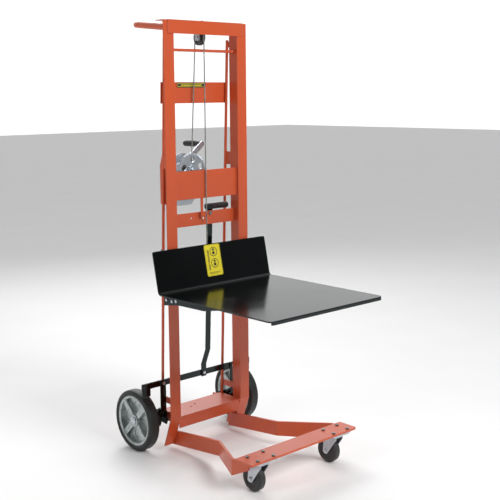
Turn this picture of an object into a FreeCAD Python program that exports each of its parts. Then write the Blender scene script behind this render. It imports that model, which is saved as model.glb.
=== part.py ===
import FreeCAD
import Part
import Sketcher
import math
import os
import sys

# Hand-winch platform lift truck.  Millimetres, +Z up.
# Origin: on the floor, under the middle of the truck's footprint.
# The platform faces -Y, the winch and the handle are at +Y, +X is the right-hand side
# of someone who stands before the platform and looks at the mast.

doc = FreeCAD.newDocument("PlatformLiftTruck")
sheet = doc.addObject("Spreadsheet::Sheet", "Dim")

# Driving dimensions: alias, value, meaning.
DIMENSIONS = [
    # mast
    ("mast_face", 200, "Y of the mast's front face"),
    ("mast_inner", 165, "half distance between the mast webs"),
    ("angle_leg", 50, "leg length of the mast angle section"),
    ("angle_wall", 5, "wall of the mast angle section"),
    ("mast_top", 1752, "top of the mast angles"),
    ("kink_z", 150, "height where the mast feet turn back"),
    ("foot_z", 25, "lower end of the mast feet"),
    ("foot_back", 47, "distance that the feet lean back"),
    # top crossbar and handle
    ("head_half", 194, "half length of the top crossbar"),
    ("head_low", 1703, "lower edge of the top crossbar"),
    ("head_wall", 4, "sheet of the top crossbar"),
    ("cap_wall", 3, "thickness of the mast caps"),
    ("grip_tube_r", 13, "handle tube outer radius"),
    ("grip_tube_wall", 2.5, "handle tube wall"),
    ("grip_half", 190, "half distance between the handle's legs"),
    ("grip_bend", 40, "handle bend radius"),
    ("grip_z", 1726, "height of the handle's roots"),
    ("grip_reach", 231, "handle leg length along its slope"),
    ("grip_rise", 6, "slope of the handle, degrees"),
    # ties, braces and plates
    ("rod_r", 6, "radius of the brace rods and the tie rod"),
    ("tie_y", 225, "Y of the tie rod"),
    ("tie_z", 1641, "height of the tie rod"),
    ("weld_r", 9, "radius of the weld balls on the tie rod"),
    ("weld_x", 155, "X of the weld balls"),
    ("brace_top_y", 262, "Y of the brace rods' top end"),
    ("brace_top_z", 1690, "height of the brace rods' top end"),
    ("brace_foot_y", 324, "Y of the brace rods' lower end"),
    ("brace_foot_z", 152, "height of the brace rods' lower end"),
    ("tab_wall", 5, "thickness of the brace tabs"),
    ("upper_low", 1431, "lower edge of the upper plate"),
    ("upper_tall", 85, "height of the upper plate"),
    ("upper_half", 175, "half width of the upper plate"),
    ("upper_wall", 4, "thickness of the upper plate"),
    ("mid_low", 1045, "lower edge of the middle plate"),
    ("mid_tall", 115, "height of the middle plate"),
    ("mid_y", 212, "front of the middle plate"),
    ("mid_wall", 5, "thickness of the middle plate"),
    ("low_low", 931, "lower edge of the lower plate"),
    ("low_tall", 55, "height of the lower plate"),
    ("low_y", 232, "front of the lower plate"),
    ("low_wall", 4, "thickness of the lower plate"),
    ("strap_x", -27, "left edge of the hanger strap"),
    ("strap_w", 12, "width of the hanger strap"),
    ("strap_low", 964, "lower end of the hanger strap"),
    ("strap_top", 1062, "upper end of the hanger strap"),
    ("strap_wall", 3, "thickness of the hanger strap"),
    # base
    ("cross_top", 152, "top of the crossmember"),
    ("cross_wall", 5, "sheet of the crossmember"),
    ("cross_deep", 130, "depth of the crossmember"),
    ("skirt_in", 8, "set-back of the crossmember's skirt"),
    ("skirt_low", 100, "lower edge of the skirt"),
    ("hem_tall", 24, "height of the crossmember's rear hem"),
    ("leg_wall", 10, "thickness of the leg bars"),
    ("leg_rear", 272, "Y of the legs' rear end"),
    ("leg_bend", -37, "Y where the legs turn outwards"),
    ("leg_out", -239, "Y where the legs run straight again"),
    ("leg_front", -329, "Y of the legs' front end"),
    ("leg_wide", 275, "half width over the legs' front end"),
    ("bar_half", 286, "half length of the front crossbar"),
    ("bar_front", -360, "front edge of the front crossbar"),
    ("bar_rear", -270, "rear edge of the front crossbar"),
    ("bar_z", 132, "underside of the front crossbar"),
    ("bar_wall", 8, "thickness of the front crossbar"),
    # rear axle and wheels
    ("axle_y", 353, "Y of the rear axle"),
    ("wheel_r", 127, "rear wheel radius"),
    ("wheel_in", 250, "inner face of the rear tyres"),
    ("tyre_w", 50, "rear tyre width"),
    ("rim_r", 104, "rear rim outer radius"),
    ("rim_in_r", 94, "rear rim inner radius"),
    ("hub_r", 26, "rear hub boss radius"),
    ("axle_r", 10, "rear axle radius"),
    ("run_fit", 0.05, "radial play of running fits"),
    ("axle_tube_r", 13.5, "axle tube outer radius"),
    ("axle_tube_half", 240, "half length of the axle tube"),
    # casters
    ("caster_x", 204, "X of the caster swivel"),
    ("caster_y", -320, "Y of the caster swivel"),
    ("caster_r", 50, "caster wheel radius"),
    ("caster_w", 32, "caster wheel width"),
    ("caster_trail", 34, "caster trail"),
    ("caster_plate_x", 105, "caster plate length"),
    ("caster_plate_y", 80, "caster plate width"),
    ("caster_plate_wall", 4, "caster plate thickness"),
    ("bolt_dx", 80, "caster bolt spacing along X"),
    ("bolt_dy", 56, "caster bolt spacing along Y"),
    ("bolt_hole_r", 4.5, "caster bolt hole radius"),
    ("fork_wall", 3, "caster fork sheet"),
    ("caster_pin_r", 5, "caster wheel bolt radius"),
    # platform
    ("deck_half", 300, "half width of the platform"),
    ("deck_front", -480, "front edge of the platform"),
    ("deck_z", 692, "top of the platform at the rest pose"),
    ("deck_wall", 5, "platform sheet"),
    ("back_y", 152, "Y of the backrest's foot, front face"),
    ("back_top_y", 187, "Y of the backrest's top, front face"),
    ("back_top_z", 856, "top of the backrest"),
    ("back_bend", 12, "bend radius of the backrest's foot"),
    ("deck_corner", 20, "corner radius of the platform"),
    ("lip_drop", 14, "height of the platform's front lip"),
    ("cheek_x", 219, "inner face of the carriage cheeks"),
    ("cheek_wall", 5, "carriage cheek thickness"),
    ("roller_r", 15, "guide roller radius"),
    ("roller_gap", 0.4, "play of the guide rollers on the mast flange"),
    ("roller_in", 174, "inner face of the guide rollers"),
    ("roller_w", 38, "guide roller width"),
    ("roller_pin_r", 6, "guide roller pin radius"),
    ("roller_low_z", 650, "height of the lower rollers"),
    ("roller_high_z", 830, "height of the upper rollers"),
    # rope
    ("rope_r", 2.5, "rope radius"),
    ("rope_x", -8, "X of the rope and of the head sheave"),
    ("rope_end_z", 822, "height of the rope's anchor"),
    ("sheave_z", 1693, "height of the head sheave"),
    ("sheave_y", 233, "Y of the head sheave"),
    ("sheave_pitch", 28, "rope line radius on the head sheave"),
    ("sheave_r", 31, "head sheave rim radius"),
    ("sheave_w", 14, "head sheave width"),
    ("sheave_pin_r", 6, "head sheave pin radius"),
    # winch
    ("reel_x", -57, "X of the winch reel"),
    ("reel_z", 1160, "height of the winch reel"),
    ("crank_x", -118, "X of the crank shaft"),
    ("crank_z", 1103, "height of the crank shaft"),
    ("winch_front", 224, "front of the winch frame"),
    ("winch_rear", 313, "rear of the winch frame"),
    ("winch_wall", 3, "winch side plate thickness"),
    ("winch_base_x", -154, "X of the winch frame's foot"),
    ("winch_base_wall", 4, "thickness of the winch frame's foot"),
    ("winch_low", 1022, "lower edge of the winch frame"),
    ("winch_high", 1190, "upper edge of the winch frame's foot"),
    ("gear_module", 2.5, "module of the winch gears"),
    ("gear_teeth", 54, "teeth of the drive gear"),
    ("pinion_teeth", 13, "teeth of the pinion"),
    ("gear_y", 231, "front of the drive gear"),
    ("gear_w", 8, "width of the drive gear"),
    ("drum_r", 25, "radius of the bare drum"),
    ("drum_rear", 301, "rear end of the drum barrel"),
    ("flange_r", 67, "radius of the reel's rear flange"),
    ("flange_wall", 2, "thickness of the reel's rear flange"),
    ("shaft_r", 7, "radius of the reel shaft and the crank shaft"),
    ("ratchet_y", 316, "front of the ratchet wheel"),
    ("ratchet_w", 6, "width of the ratchet wheel"),
    ("ratchet_r", 22, "radius of the ratchet wheel"),
    ("ratchet_teeth", 12, "teeth of the ratchet wheel"),
    ("crank_y", 325, "front of the crank arm"),
    ("crank_deep", 8, "depth of the crank arm's channel"),
    ("crank_half", 11, "half width of the crank arm"),
    ("crank_length", 248, "crank radius"),
    ("crank_turn", 38.9, "crank angle above the horizontal, degrees"),
    ("knob_r", 13, "crank grip radius"),
    ("knob_long", 111, "crank grip length"),
    ("mount_x", -159, "X of the winch mounting plate"),
    # brake
    ("brake_y", 285, "front of the brake bar"),
    ("brake_low", 270, "lower edge of the brake bar"),
    ("brake_tall", 25, "height of the brake bar"),
    ("brake_wall", 5, "thickness of the brake bar"),
    ("brake_half", 296, "half length of the brake bar"),
    ("pivot_y", 300, "Y of the brake's pivot"),
    ("pivot_z", 152, "height of the brake's pivot"),
    ("pivot_r", 6, "radius of the brake's pivot pins"),
    ("arm_in", 178, "inner edge of the brake arms"),
    ("arm_w", 27, "width of the brake arms"),
    ("lever_foot_x", 28, "X of the brake lever's foot"),
    ("lever_top_x", 50, "X of the brake lever's top"),
    ("lever_top_y", 249, "Y of the brake lever's top"),
    ("lever_top_z", 1000, "height of the brake lever's grip"),
    ("lever_w", 25, "width of the brake lever"),
    ("lever_wall", 5, "thickness of the brake lever"),
    ("brake_grip_r", 13, "radius of the brake grip"),
    ("brake_grip_end", 156, "X of the brake grip's free end"),
]

for row, (alias, number, meaning) in enumerate(DIMENSIONS, start=1):
    sheet.set(f"A{row}", meaning)
    sheet.set(f"B{row}", str(number))
    sheet.setAlias(f"B{row}", alias)
doc.recompute()

D = {alias: float(sheet.get(alias)) for alias, number, meaning in DIMENSIONS}
WORDS = sorted(D, key=len, reverse=True)
NODES = []


def bound(text):
    """Turn the names of dimensions in a formula into references to the sheet."""
    out = ""
    word = ""
    for sign in str(text) + " ":
        if sign.isalnum() or sign == "_":
            word += sign
            continue
        out += "Dim." + word if word in D else word
        out += sign
        word = ""
    return out.strip()


def value(text):
    """The number that a formula gives with the sheet's present values."""
    return float(sheet.evalExpression(bound(text)))


def bind(obj, **formulas):
    """Bind properties of an object to formulas over the sheet."""
    for name, text in formulas.items():
        obj.setExpression(name.replace("__", "."), bound(text))


def put(obj, x="0", y="0", z="0"):
    """Bind an object's position."""
    bind(obj, Placement__Base__x=x, Placement__Base__y=y, Placement__Base__z=z)


def keep(obj, label):
    """Name a finished sub-part and list it for export."""
    obj.Label = label
    NODES.append(obj)
    return obj


def box(name, size, corner):
    """A block from its three sizes and its lowest corner."""
    obj = doc.addObject("Part::Box", name)
    bind(obj, Length=size[0], Width=size[1], Height=size[2])
    put(obj, *corner)
    return obj


TURNS = {
    "x": FreeCAD.Rotation(FreeCAD.Vector(0, 1, 0), 90),
    "y": FreeCAD.Rotation(FreeCAD.Vector(1, 0, 0), -90),
    "z": FreeCAD.Rotation(),
}


def cylinder(name, radius, length, start, axis):
    """A cylinder that runs from start along +X, +Y or +Z."""
    obj = doc.addObject("Part::Cylinder", name)
    obj.Placement.Rotation = TURNS[axis]
    bind(obj, Radius=radius, Height=length)
    put(obj, *start)
    return obj


def rod(name, radius, start, end):
    """A round bar between two points, each given as three formulas."""
    obj = doc.addObject("Part::Cylinder", name)
    steps = [f"(({b}) - ({a}))^2" for a, b in zip(start, end)]
    run = FreeCAD.Vector(*[value(b) - value(a) for a, b in zip(start, end)])
    obj.Placement.Rotation = FreeCAD.Rotation(FreeCAD.Vector(0, 0, 1), run)
    bind(obj, Radius=radius, Height="sqrt(" + " + ".join(steps) + ")")
    put(obj, *start)
    return obj


def fuse(name, parts):
    """Join pieces into one solid."""
    obj = doc.addObject("Part::MultiFuse", name)
    obj.Shapes = parts
    obj.Refine = True
    return obj


def cut(name, base, tool):
    """Take a tool away from a solid."""
    obj = doc.addObject("Part::Cut", name)
    obj.Base = base
    obj.Tool = tool
    return obj


def common(name, first, second):
    """What two solids share."""
    obj = doc.addObject("Part::MultiCommon", name)
    obj.Shapes = [first, second]
    return obj


def group(name, parts):
    """Equal pieces that stay separate solids of one node."""
    obj = doc.addObject("Part::Compound", name)
    obj.Links = parts
    return obj


def mirror(name, source):
    """The same piece on the other side of the truck's middle plane."""
    obj = doc.addObject("Part::Mirroring", name)
    obj.Source = source
    obj.Normal = FreeCAD.Vector(1, 0, 0)
    return obj


def pair(label, right):
    """A right-hand piece and its left-hand twin in one node."""
    return keep(group(label + "_pair", [right, mirror(label + "_twin", right)]), label)


PLANES = {"x": "YZ_Plane", "y": "XZ_Plane", "z": "XY_Plane"}


def origin_plane(body, axis):
    """The body's own origin plane that is square to an axis."""
    for feature in body.Origin.OriginFeatures:
        if feature.Role == PLANES[axis]:
            return feature


def hold(sketch, index, point, u, v):
    """Fix a point of the sketch by two formulas."""
    for kind, text in (("DistanceX", u), ("DistanceY", v)):
        number = sketch.addConstraint(Sketcher.Constraint(kind, -1, 1, index, point, value(text)))
        sketch.setExpression(f"Constraints[{number}]", bound(text))


def outline(body, name, axis, points, circles=()):
    """A closed outline of straight edges with round holes, square to an axis."""
    sketch = body.newObject("Sketcher::SketchObject", name)
    sketch.AttachmentSupport = [(origin_plane(body, axis), "")]
    sketch.MapMode = "FlatFace"
    corners = [FreeCAD.Vector(value(u), value(v), 0) for u, v in points]
    count = len(points)
    for index in range(count):
        sketch.addGeometry(Part.LineSegment(corners[index], corners[(index + 1) % count]), False)
    for index in range(count):
        follower = (index + 1) % count
        sketch.addConstraint(Sketcher.Constraint("Coincident", index, 2, follower, 1))
    for index, (u, v) in enumerate(points):
        hold(sketch, index, 1, u, v)
    for u, v, radius in circles:
        centre = FreeCAD.Vector(value(u), value(v), 0)
        ring = sketch.addGeometry(Part.Circle(centre, FreeCAD.Vector(0, 0, 1), value(radius)), False)
        hold(sketch, ring, 3, u, v)
        number = sketch.addConstraint(Sketcher.Constraint("Radius", ring, value(radius)))
        sketch.setExpression(f"Constraints[{number}]", bound(radius))
    return sketch


def plate(name, axis, points, start, wall, circles=(), rounds=(), radius=None):
    """A padded outline: axis is its thickness direction, start its lower face on that axis."""
    body = doc.addObject("PartDesign::Body", name)
    sketch = outline(body, name + "_outline", axis, points, circles)
    pad = body.newObject("PartDesign::Pad", name + "_pad")
    pad.Profile = sketch
    pad.Reversed = axis == "y"
    bind(pad, Length=wall)
    body.Tip = pad
    if rounds:
        doc.recompute()
        soften(body, axis, [points[index] for index in rounds], radius)
    shift = {"x": (start, "0", "0"), "y": ("0", start, "0"), "z": ("0", "0", start)}[axis]
    put(body, *shift)
    return body


AXIS_INDEX = {"x": 0, "y": 1, "z": 2}


def soften(body, axis, corners, radius):
    """Round the edges that run along the thickness at the named corners."""
    skip = AXIS_INDEX[axis]
    spots = [(value(u), value(v)) for u, v in corners]
    base = body.Tip
    names = []
    for number, edge in enumerate(base.Shape.Edges, start=1):
        ends = [vertex.Point for vertex in edge.Vertexes]
        if len(ends) != 2 or abs(ends[0][skip] - ends[1][skip]) < 0.1:
            continue
        middle = edge.CenterOfMass
        place = [middle[index] for index in range(3) if index != skip]
        if any(abs(place[0] - u) + abs(place[1] - v) < 0.01 for u, v in spots):
            names.append(f"Edge{number}")
    fillet = body.newObject("PartDesign::Fillet", body.Name + "_round")
    fillet.Base = (base, names)
    bind(fillet, Radius=radius)
    body.Tip = fillet


def turned(name, profile, axis, centre):
    """A turned piece: profile points are (radius, along), axis its direction."""
    body = doc.addObject("PartDesign::Body", name)
    sketch = outline(body, name + "_profile", "y", profile)
    spin = body.newObject("PartDesign::Revolution", name + "_spin")
    spin.Profile = sketch
    spin.ReferenceAxis = (sketch, ["V_Axis"])
    spin.Angle = 360
    body.Tip = spin
    body.Placement.Rotation = TURNS[axis]
    put(body, *centre)
    return body


def bolt(name, at, axis, reach=12, head_r=7, head_tall=5, sense=1):
    """A hexagon bolt whose head sits on a face at the point and whose shank goes in."""
    hexagon = doc.addObject("Part::Prism", name + "_head")
    hexagon.Polygon = 6
    hexagon.Circumradius = head_r
    hexagon.Height = head_tall
    shank = doc.addObject("Part::Cylinder", name + "_shank")
    shank.Radius = head_r * 0.55
    shank.Height = reach
    flip = FreeCAD.Rotation() if sense > 0 else FreeCAD.Rotation(FreeCAD.Vector(1, 0, 0), 180)
    turn = TURNS[axis] * flip
    hexagon.Placement.Rotation = turn
    shank.Placement.Rotation = turn
    put(hexagon, *at)
    inward = turn.multVec(FreeCAD.Vector(0, 0, -reach))
    put(shank, *[f"{text} + ({step})" for text, step in zip(at, inward)])
    return fuse(name, [hexagon, shank])


# ---------------------------------------------------------------- masts
# Each mast is an angle: flange and web above the bend, a leaning foot below it, and a cap.
foot_y = "mast_face + foot_back"
flange_run = box("flange_run", ("angle_leg", "angle_wall", "mast_top - kink_z"),
                 ("mast_inner", "mast_face", "kink_z"))
web_run = box("web_run", ("angle_wall", "angle_leg - angle_wall", "mast_top - kink_z"),
              ("mast_inner", "mast_face + angle_wall", "kink_z"))
flange_foot = plate("flange_foot", "x", [
    ("mast_face", "kink_z"),
    (foot_y, "foot_z"),
    (foot_y + " + angle_wall", "foot_z"),
    ("mast_face + angle_wall", "kink_z")],
    "mast_inner", "angle_leg")
web_foot = plate("web_foot", "x", [
    ("mast_face + angle_wall", "kink_z"),
    (foot_y + " + angle_wall", "foot_z"),
    (foot_y + " + angle_leg", "foot_z"),
    ("mast_face + angle_leg", "kink_z")],
    "mast_inner", "angle_wall")
mast_cap = box("mast_cap",
               ("mast_inner + angle_leg - head_half", "angle_leg", "cap_wall"),
               ("head_half", "mast_face", "mast_top"))
mast_right = keep(group("mast_angle", [flange_run, web_run, flange_foot, web_foot, mast_cap]),
                  "mast_right")
keep(mirror("mast_angle_twin", mast_right), "mast_left")

# ---------------------------------------------------------------- top crossbar
head_front = box(
    "head_front",
    ("2*head_half", "head_wall", "mast_top - head_low"),
    ("-head_half", "mast_face - head_wall", "head_low"))
head_flange = box(
    "head_flange",
    ("2*head_half", "angle_leg + head_wall", "head_wall"),
    ("-head_half", "mast_face - head_wall", "mast_top"))
keep(group("head_bar", [head_front, head_flange]), "top_crossbar")


# Rough weld beads along the ends of the crossbar and of the middle plate.
def bead(name, start, end, radius=3):
    """A bead of weld: a bar with small humps."""
    humps = [rod(name + "_core", str(radius * 0.8), start, end)]
    spans = 7
    for index in range(spans + 1):
        ball = doc.addObject("Part::Sphere", f"{name}_hump{index}")
        ball.Radius = radius
        share = index / spans
        put(ball, *[f"({a})*{1 - share:.4f} + ({b})*{share:.4f}" for a, b in zip(start, end)])
        humps.append(ball)
    return fuse(name, humps)


head_bead = bead("head_bead",
                 ("head_half", "mast_face - 1", "head_low + 3"),
                 ("head_half", "mast_face - 1", "mast_top - 6"))
mid_bead = bead("mid_bead",
                ("mast_inner - 1", "mid_y - 1", "mid_low + 4"),
                ("mast_inner - 1", "mid_y - 1", "mid_low + mid_tall - 4"))
low_bead = bead("low_bead",
                ("mast_inner - 1", "low_y - 1", "low_low + 4"),
                ("mast_inner - 1", "low_y - 1", "low_low + low_tall - 4"))
tie_bead = doc.addObject("Part::Sphere", "tie_bead")
bind(tie_bead, Radius="weld_r")
tie_bead.Placement.Rotation = TURNS["x"]
put(tie_bead, "weld_x", "tie_y", "tie_z")
bead_set = [head_bead, mid_bead, low_bead, tie_bead]
twins = [mirror(item.Name + "_twin", item) for item in bead_set]
keep(group("bead_group", bead_set + twins), "weld_beads")

# ---------------------------------------------------------------- handle
tube_start = "mast_face + angle_wall"


def tube_run(name, length, start, axis):
    """A straight length of handle tube."""
    skin = cylinder(name, "grip_tube_r", length, start, axis)
    bore = cylinder(name + "_bore", "grip_tube_r - grip_tube_wall", length, start, axis)
    return cut(name + "_tube", skin, bore)


def tube_bend(name, side, turn):
    """A quarter bend of handle tube."""
    rings = []
    for tag, radius in (("", "grip_tube_r"), ("_bore", "grip_tube_r - grip_tube_wall")):
        ring = doc.addObject("Part::Torus", name + tag)
        bind(ring, Radius1="grip_bend", Radius2=radius)
        ring.Angle3 = 90
        ring.Placement.Rotation = FreeCAD.Rotation(FreeCAD.Vector(0, 0, 1), turn)
        put(ring, f"{side}(grip_half - grip_bend)", "grip_reach - grip_bend", "0")
        rings.append(ring)
    return cut(name + "_tube", rings[0], rings[1])


handle = fuse("handle_u", [
    tube_run("handle_leg", "grip_reach - grip_bend", ("grip_half", "0", "0"), "y"),
    tube_bend("handle_turn", "", 0),
    tube_run("handle_bar", "2*(grip_half - grip_bend)",
             ("-(grip_half - grip_bend)", "grip_reach", "0"), "x"),
    tube_bend("handle_turn2", "-", 90),
    tube_run("handle_leg2", "grip_reach - grip_bend", ("-grip_half", "0", "0"), "y")])
slope = FreeCAD.Rotation(FreeCAD.Vector(1, 0, 0), value("grip_rise"))
stand_off = value("grip_tube_r") * math.sin(math.radians(value("grip_rise")))
handle.Placement = FreeCAD.Placement(
    FreeCAD.Vector(0, value(tube_start) + stand_off, value("grip_z")), slope)
keep(handle, "handle")

# ---------------------------------------------------------------- rods and tabs
keep(cylinder("tie_bar", "rod_r", "2*mast_inner", ("-mast_inner", "tie_y", "tie_z"), "x"),
     "tie_rod")
brace = rod("brace", "rod_r",
            ("mast_inner", "brace_foot_y", "brace_foot_z"),
            ("mast_inner", "brace_top_y", "brace_top_z"))
tab_low = box("tab_low", ("tab_wall", "27", "55"),
              ("mast_inner", "mast_face + angle_leg", "1171"))
tab_high = box("tab_high", ("tab_wall", "10", "24"),
               ("mast_inner", "mast_face + angle_leg", "1660"))
tab_foot = box("tab_foot", ("tab_wall", "62", "26"),
               ("mast_inner", "mast_face + angle_leg", "190"))
brace_tabs = [cut(tab.Name + "_fitted", tab, brace) for tab in (tab_low, tab_high, tab_foot)]
brace_set = group("brace_set", [brace] + brace_tabs)
keep(group("brace_pair", [brace_set, mirror("brace_twin", brace_set)]), "brace_rods")


# ---------------------------------------------------------------- plates between the masts
def cross_plate(label, half, low, tall, front, wall, circles=()):
    """A flat plate across the truck, facing the platform."""
    corners = [
        (f"-({half})", low),
        (half, low),
        (half, f"{low} + {tall}"),
        (f"-({half})", f"{low} + {tall}"),
    ]
    return plate(label, "y", corners, front, wall, circles)


keep(cross_plate("mid_sheet", "mast_inner", "mid_low", "mid_tall", "mid_y", "mid_wall"),
     "mid_plate")
keep(cross_plate("low_sheet", "mast_inner", "low_low", "low_tall", "low_y", "low_wall",
                 [("-65", "963", "4"), ("-2", "961", "6.5"), ("33", "977", "4.4")]),
     "lower_plate")
brace_slope = math.degrees(math.atan2(
    value("brace_foot_y - brace_top_y"), value("brace_top_z - brace_foot_z")))
rod_run = "(brace_top_z - upper_low)/(brace_top_z - brace_foot_z)"
upper = box("upper_sheet", ("2*upper_half", "upper_wall", "upper_tall"), (
    "-upper_half",
    f"brace_top_y + {rod_run}*(brace_foot_y - brace_top_y) + rod_r + 0.01",
    "upper_low"))
upper.Placement.Rotation = FreeCAD.Rotation(FreeCAD.Vector(1, 0, 0), brace_slope)
keep(upper, "upper_plate")
strap_body = box("strap_body", ("strap_w", "strap_wall", "strap_top - strap_low"),
                 ("strap_x", "mid_y + mid_wall", "strap_low"))
strap_hook = box("strap_hook", ("strap_w + 9", "strap_wall + 4", "strap_wall"),
                 ("strap_x", "mid_y + mid_wall", "strap_low"))
keep(fuse("strap", [strap_body, strap_hook]), "hanger_strap")

# ---------------------------------------------------------------- base
cross_rear = "mast_face + cross_deep"
cross_sheet = plate("cross_sheet", "z", [
    ("-mast_inner", "mast_face"),
    ("mast_inner", "mast_face"),
    ("mast_inner", cross_rear),
    ("-mast_inner", cross_rear)],
    "cross_top - cross_wall", "cross_wall",
    [("-21", "287", "5"), ("-55", "269", "4")])
cross_skirt = box("cross_skirt",
                  ("2*mast_inner", "cross_wall - 1", "cross_top - cross_wall - skirt_low"),
                  ("-mast_inner", "mast_face + skirt_in", "skirt_low"))
cross_hem = box("cross_hem", ("2*mast_inner", "cross_wall - 1", "hem_tall - cross_wall"),
                ("-mast_inner", cross_rear + " - cross_wall + 1", "cross_top - hem_tall"))
keep(group("cross_member", [cross_sheet, cross_skirt, cross_hem]), "crossmember")

leg_inner = "mast_inner - leg_wall"
leg_run_out = "leg_wide - mast_inner"
leg_plan = plate("leg_plan", "z", [
    (leg_inner, "leg_rear"),
    ("mast_inner", "leg_rear"),
    ("mast_inner", "leg_bend"),
    ("leg_wide", "leg_out"),
    ("leg_wide", "leg_front"),
    ("leg_wide - leg_wall", "leg_front"),
    ("leg_wide - leg_wall", "leg_out"),
    (leg_inner, "leg_bend")],
    "0", "200")
leg_side = plate("leg_side", "x", [
    ("leg_rear", "17"),
    ("leg_bend", "51"),
    ("leg_out", "63"),
    ("leg_front", "108"),
    ("leg_front", "bar_z"),
    ("bar_rear + 5", "bar_z"),
    ("leg_bend", "112"),
    ("leg_rear - 22", "79"),
    ("leg_rear", "60")],
    "0", "400")
pair("leg_bars", common("leg_bar", leg_plan, leg_side))

caster_holes = []
for side in ("-", ""):
    for step in ("-", ""):
        for turn in ("-", ""):
            caster_holes.append((
                f"{side}caster_x {'+' if step == '' else '-'} bolt_dx/2",
                f"caster_y {'+' if turn == '' else '-'} bolt_dy/2",
                "bolt_hole_r"))
keep(plate("bar_sheet", "z", [
    ("-bar_half", "bar_front"),
    ("bar_half", "bar_front"),
    ("bar_half", "bar_rear"),
    ("-bar_half", "bar_rear")],
    "bar_z", "bar_wall", caster_holes, (0, 1, 2, 3), "8"),
    "front_crossbar")

# ---------------------------------------------------------------- rear axle
tube_skin = cylinder("tube_skin", "axle_tube_r", "2*axle_tube_half",
                     ("-axle_tube_half", "axle_y", "wheel_r"), "x")
tube_bore = cylinder("tube_bore", "axle_r", "2*axle_tube_half",
                     ("-axle_tube_half", "axle_y", "wheel_r"), "x")
keep(cut("tube_pipe", tube_skin, tube_bore), "axle_tube")
keep(cylinder("axle_bar", "axle_r", "2*(deck_half - 1)",
              ("-(deck_half - 1)", "axle_y", "wheel_r"), "x"), "rear_axle")
axle_bracket = plate("axle_bracket", "x", [
    ("mast_face + 60", "cross_top - cross_wall"),
    (cross_rear, "cross_top - cross_wall"),
    ("axle_y + 16", "wheel_r + 18"),
    ("axle_y + 18", "wheel_r - 14"),
    ("axle_y - 8", "wheel_r - 22"),
    ("mast_face + 72", "wheel_r - 20")],
    "mast_inner - leg_wall - 6", "6",
    [("axle_y", "wheel_r", "axle_tube_r")])
pair("axle_brackets", cut("axle_bracket_fitted", axle_bracket, cross_hem))


# ---------------------------------------------------------------- head sheave
sheave_side = "rope_x + sheave_w/2"
cheek_gap = "2"
bracket_right = plate("bracket_right", "x", [
    ("sheave_y - 14", "sheave_z - 12"),
    ("sheave_y + 14", "sheave_z - 12"),
    ("sheave_y + 17", "mast_top"),
    ("sheave_y - 17", "mast_top")],
    f"{sheave_side} + {cheek_gap}", "3")
bracket_left = plate("bracket_left", "x", [
    ("sheave_y - 14", "sheave_z - 12"),
    ("sheave_y + 14", "sheave_z - 12"),
    ("sheave_y + 17", "mast_top"),
    ("sheave_y - 17", "mast_top")],
    f"rope_x - sheave_w/2 - {cheek_gap} - 3", "3")
bracket_top = box("bracket_top", ("sheave_w + 10", "34", "3"),
                  ("rope_x - sheave_w/2 - 5", "sheave_y - 17", "mast_top - 3"))
pin_hole = cylinder("bracket_hole", "sheave_pin_r", "60",
                    ("rope_x - 30", "sheave_y", "sheave_z"), "x")
keep(cut("bracket", fuse("bracket_u", [bracket_right, bracket_left, bracket_top]), pin_hole),
     "sheave_bracket")
sheave_pin = cylinder("pin_bar", "sheave_pin_r", "sheave_w + 18",
                      ("rope_x - sheave_w/2 - 9", "sheave_y", "sheave_z"), "x")
pin_head = cylinder("pin_head", "sheave_pin_r + 3", "3",
                    (f"{sheave_side} + 5", "sheave_y", "sheave_z"), "x")
keep(fuse("pin_full", [sheave_pin, pin_head]), "sheave_pin")
groove = "sheave_pitch - rope_r - 0.3"
sheave = keep(turned("sheave_disc", [
    ("sheave_pin_r + run_fit", "-sheave_w/2"),
    ("13", "-sheave_w/2"),
    ("14", "-sheave_w/2 + 3"),
    ("22", "-sheave_w/2 + 3"),
    ("24", "-sheave_w/2 + 1"),
    ("sheave_r", "-sheave_w/2 + 1"),
    ("sheave_r", "-sheave_w/2 + 2.5"),
    (groove, "-rope_r*0.9"),
    (groove, "rope_r*0.9"),
    ("sheave_r", "sheave_w/2 - 2.5"),
    ("sheave_r", "sheave_w/2 - 1"),
    ("24", "sheave_w/2 - 1"),
    ("22", "sheave_w/2 - 3"),
    ("14", "sheave_w/2 - 3"),
    ("13", "sheave_w/2"),
    ("sheave_pin_r + run_fit", "sheave_w/2")],
    "x", ("rope_x", "sheave_y", "sheave_z")), "head_sheave")

# ---------------------------------------------------------------- rope
front_fall_y = "sheave_y - sheave_pitch"
keep(cylinder("front_fall", "rope_r", "sheave_z - rope_end_z",
              ("rope_x", front_fall_y, "rope_end_z"), "z"), "rope_front_fall")
wrap = doc.addObject("Part::Torus", "rope_wrap")
bind(wrap, Radius1="sheave_pitch", Radius2="rope_r")
wrap.Angle3 = 180
wrap.Placement.Rotation = FreeCAD.Rotation(
    FreeCAD.Vector(0, 1, 0), FreeCAD.Vector(0, 0, 1), FreeCAD.Vector(1, 0, 0), "XYZ")
put(wrap, "rope_x", "sheave_y", "sheave_z")
rope_turn_r = "drum_r + rope_r + 0.3"
rope_lead_y = "272.5"
rear_fall = rod("rear_fall", "rope_r",
                (f"reel_x + {rope_turn_r}", rope_lead_y, "reel_z"),
                ("rope_x", "sheave_y + sheave_pitch", "sheave_z"))
drum_turn = doc.addObject("Part::Torus", "rope_drum_turn")
bind(drum_turn, Radius1=rope_turn_r, Radius2="rope_r")
drum_turn.Angle3 = 180
drum_turn.Placement.Rotation = TURNS["y"]
put(drum_turn, "reel_x", rope_lead_y, "reel_z")
keep(group("rope_rear", [fuse("rope_bent", [wrap, rear_fall]), drum_turn]), "rope_rear_fall")

# ---------------------------------------------------------------- winch frame
keep(plate("mount_sheet", "x", [
    ("mid_y + mid_wall", "1024"),
    ("315", "1024"),
    ("315", "1180"),
    ("300", "1226"),
    ("mid_y + mid_wall", "1226")],
    "mount_x", "winch_base_x - mount_x"), "winch_mount")

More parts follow.
